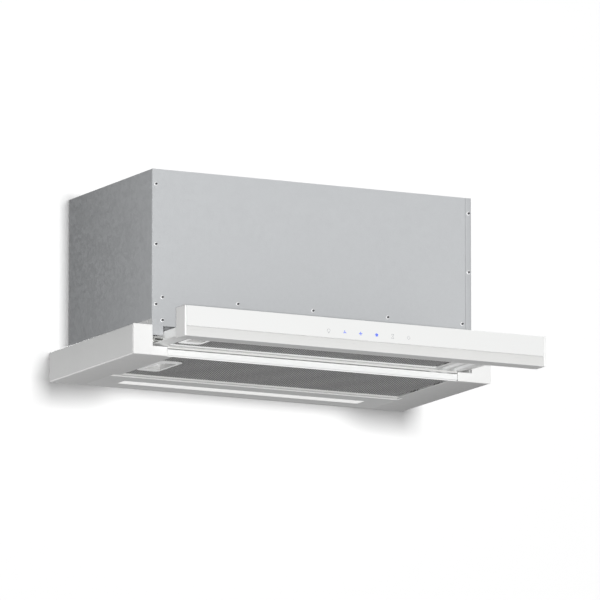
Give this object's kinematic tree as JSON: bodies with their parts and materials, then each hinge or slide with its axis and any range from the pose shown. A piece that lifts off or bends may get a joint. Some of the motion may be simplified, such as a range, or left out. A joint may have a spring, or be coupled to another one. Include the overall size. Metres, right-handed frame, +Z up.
{
  "type": "pull out range hood",
  "caption": "Wall-cabinet cooker hood with a steel housing, a drawer that pulls out on rails, a touch panel, swing-down grease filters and a blower under a round outlet.",
  "frame": {"origin": "middle of the whole hood's footprint, drawer out, at the level of its underside", "axes": "+X to the right as seen from the front, +Y towards the wall, +Z up; the drawer pulls out along -Y"},
  "size_m": [0.6, 0.4596, 0.296],
  "materials": {
    "white_steel": "satin powder coat",
    "white_plastic": "satin",
    "galvanised_steel": "galvanised",
    "rail_steel": "zinc plated",
    "white_glass": "polished, white behind",
    "diffuser": "frosted",
    "filter_aluminium": "expanded mesh",
    "latch_metal": "satin",
    "black_plastic": "moulded",
    "grey_plastic": "moulded",
    "circuit_board": "lacquered",
    "motor_steel": "zinc plated"
  },
  "bodies": {
    "hood": {"base_pan": "white_steel", "front_bar": "white_steel", "corner_cap_left": "white_plastic", "corner_cap_right": "white_plastic", "filter_support": "white_steel", "light_panel": "white_steel", "light_diffuser": "diffuser", "light_channel": "galvanised_steel", "light_board": "circuit_board", "housing_left": "galvanised_steel", "housing_right": "galvanised_steel", "housing_cover": "galvanised_steel", "housing_back": "galvanised_steel", "housing_top": "galvanised_steel", "front_crossbar": "galvanised_steel", "rail_carrier_left": "galvanised_steel", "rail_carrier_right": "galvanised_steel", "rail_outer_left": "rail_steel", "rail_outer_right": "rail_steel", "scroll_left": "black_plastic", "scroll_right": "black_plastic", "motor_body": "motor_steel", "motor_bracket": "galvanised_steel", "outlet_collar": "black_plastic", "flap_pin": "rail_steel", "control_box": "grey_plastic", "control_box_lid": "grey_plastic", "power_board": "circuit_board", "capacitor": "white_plastic", "cable_gland": "black_plastic"},
    "rail_middle_left": {"rail_middle_left": "rail_steel"},
    "rail_middle_right": {"rail_middle_right": "rail_steel"},
    "drawer": {"drawer_tray": "white_steel", "panel_body": "white_steel", "panel_glass": "white_glass", "panel_back_cover": "white_steel", "panel_end_left": "white_plastic", "panel_end_right": "white_plastic", "touch_board": "circuit_board", "rail_inner_left": "rail_steel", "rail_inner_right": "rail_steel"},
    "fixed_filter": {"fixed_filter_frame": "filter_aluminium", "fixed_filter_mesh": "filter_aluminium", "fixed_filter_handle": "latch_metal"},
    "fixed_filter_latch": {"fixed_filter_latch": "latch_metal"},
    "drawer_filter": {"drawer_filter_frame": "filter_aluminium", "drawer_filter_mesh": "filter_aluminium", "drawer_filter_handle": "latch_metal"},
    "drawer_filter_latch": {"drawer_filter_latch": "latch_metal"},
    "impeller": {"impeller": "grey_plastic", "motor_shaft": "rail_steel"},
    "flap_front": {"flap_front": "grey_plastic"},
    "flap_rear": {"flap_rear": "grey_plastic"}
  },
  "joints": [
    {"name": "drawer_slide", "type": "slide", "parent": "hood", "child": "drawer", "axis": [0, -1, 0], "range_m": [-0.1428, 0]},
    {"name": "rail_left_slide", "type": "slide", "parent": "hood", "child": "rail_middle_left", "axis": [0, -1, 0], "range_m": [-0.0714, 0]},
    {"name": "rail_right_slide", "type": "slide", "parent": "hood", "child": "rail_middle_right", "axis": [0, -1, 0], "range_m": [-0.0714, 0]},
    {"name": "fixed_filter_swing", "type": "hinge", "parent": "hood", "child": "fixed_filter", "pos_m": [0.2335, 0.0336, 0.004], "axis": [0, -1, 0], "range_deg": [0, 35]},
    {"name": "fixed_filter_latch_slide", "type": "slide", "parent": "fixed_filter", "child": "fixed_filter_latch", "axis": [1, 0, 0], "range_m": [0, 0.006], "stiffness_N_per_m": 200},
    {"name": "drawer_filter_swing", "type": "hinge", "parent": "drawer", "child": "drawer_filter", "pos_m": [0.2, -0.1359, 0.0186], "axis": [0, -1, 0], "range_deg": [0, 35]},
    {"name": "drawer_filter_latch_slide", "type": "slide", "parent": "drawer_filter", "child": "drawer_filter_latch", "axis": [1, 0, 0], "range_m": [0, 0.006], "stiffness_N_per_m": 200},
    {"name": "impeller_spin", "type": "hinge", "parent": "hood", "child": "impeller", "pos_m": [0, 0.08285, 0.15], "axis": [1, 0, 0], "continuous": true},
    {"name": "flap_front_swing", "type": "hinge", "parent": "hood", "child": "flap_front", "pos_m": [0, 0.14035, 0.2842], "axis": [-1, 0, 0], "range_deg": [0, 75]},
    {"name": "flap_rear_swing", "type": "hinge", "parent": "hood", "child": "flap_rear", "pos_m": [0, 0.14035, 0.2842], "axis": [1, 0, 0], "range_deg": [0, 75]}
  ],
  "couplings": [
    {"joint": "rail_left_slide", "follows": "drawer_slide", "ratio": 0.5},
    {"joint": "rail_right_slide", "follows": "drawer_slide", "ratio": 0.5}
  ]
}
